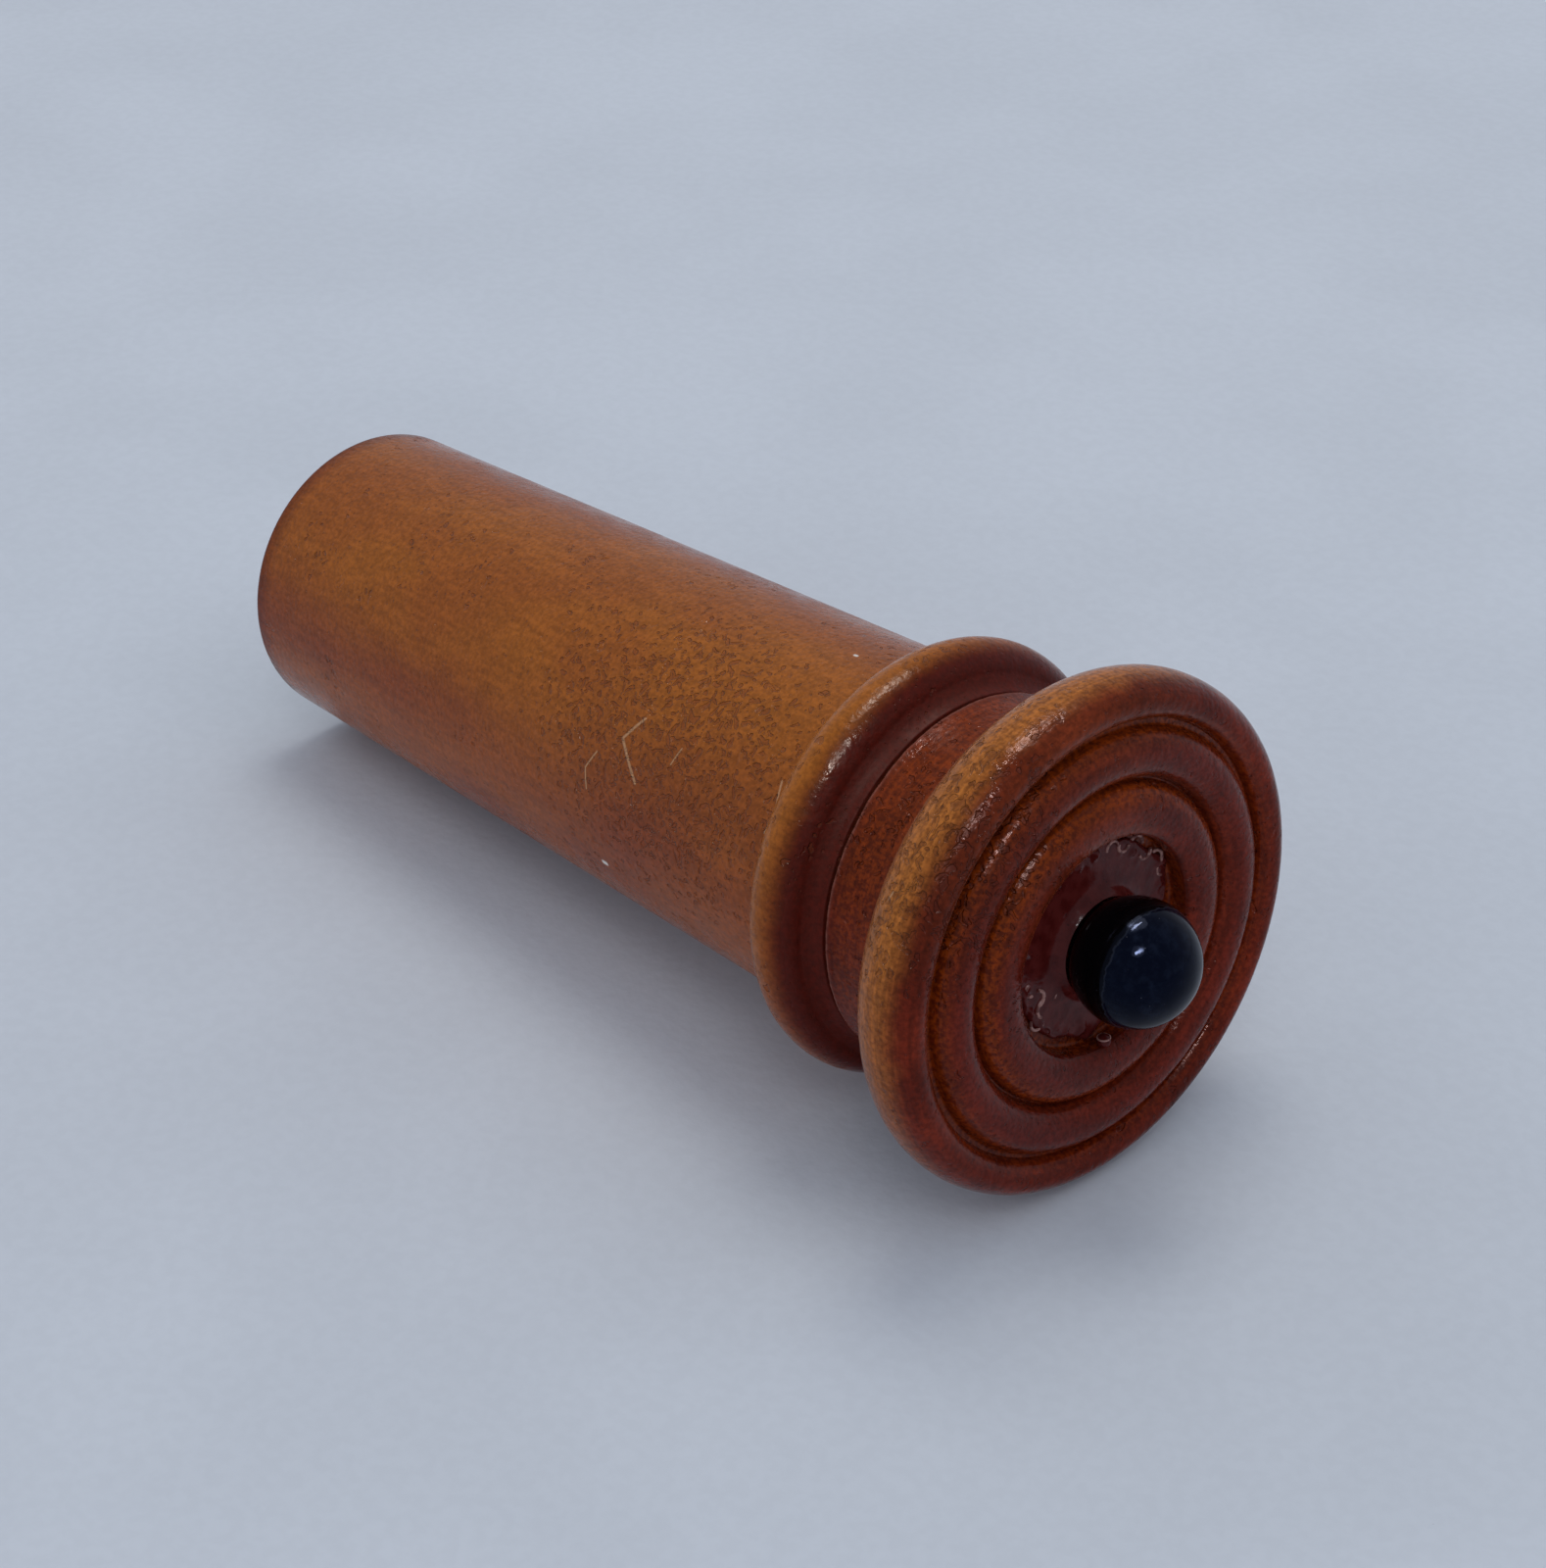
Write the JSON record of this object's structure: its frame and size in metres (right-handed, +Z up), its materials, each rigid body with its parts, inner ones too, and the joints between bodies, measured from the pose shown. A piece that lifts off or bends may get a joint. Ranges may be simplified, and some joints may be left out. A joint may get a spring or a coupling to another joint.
{
  "type": "kaleidoscope",
  "caption": "Pocket kaleidoscope of turned, lacquered wood: a tapered barrel with a peep hole and a ringed flange head that turns and holds a dark glass ball lens.",
  "frame": {"origin": "centre of the footprint's bounding box, on the ground the toy lies on", "axes": "+X from the eye end toward the lens end, +Z up, the long axis tipped up about five degrees toward the lens end because the flange is wider than the eye end"},
  "size_m": [0.1002, 0.042, 0.0418],
  "materials": {
    "barrel_wood": "satin lacquer over brown stain",
    "head_wood": "satin lacquer over red-brown stain",
    "ball_glass": "polished dark blue-black glass",
    "clear_glue": "clear glossy glue",
    "felt": "dense felt",
    "spring_wire": "drawn wire",
    "black_card": "matt black",
    "baffle_card": "matt black",
    "eye_disc_card": "matt black",
    "clear_window": "clear",
    "mirror_face_1": "silvered",
    "mirror_face_2": "silvered",
    "mirror_face_3": "silvered"
  },
  "bodies": {
    "barrel_body": {"barrel": "barrel_wood", "retaining_ring": "spring_wire", "mirror_tube": "black_card", "mirror_1": "mirror_face_1", "mirror_2": "mirror_face_2", "mirror_3": "mirror_face_3", "front_baffle": "baffle_card", "eye_window": "clear_window", "eye_disc": "eye_disc_card"},
    "head_body": {"head": "head_wood", "ball_lens": "ball_glass", "lens_glue": "clear_glue", "felt_band": "felt"}
  },
  "joints": [
    {"name": "head_turn", "type": "hinge", "parent": "barrel_body", "child": "head_body", "pos_m": [0.0275, 0, 0.01983], "axis": [0.9961, 0, 0.088], "continuous": true}
  ]
}
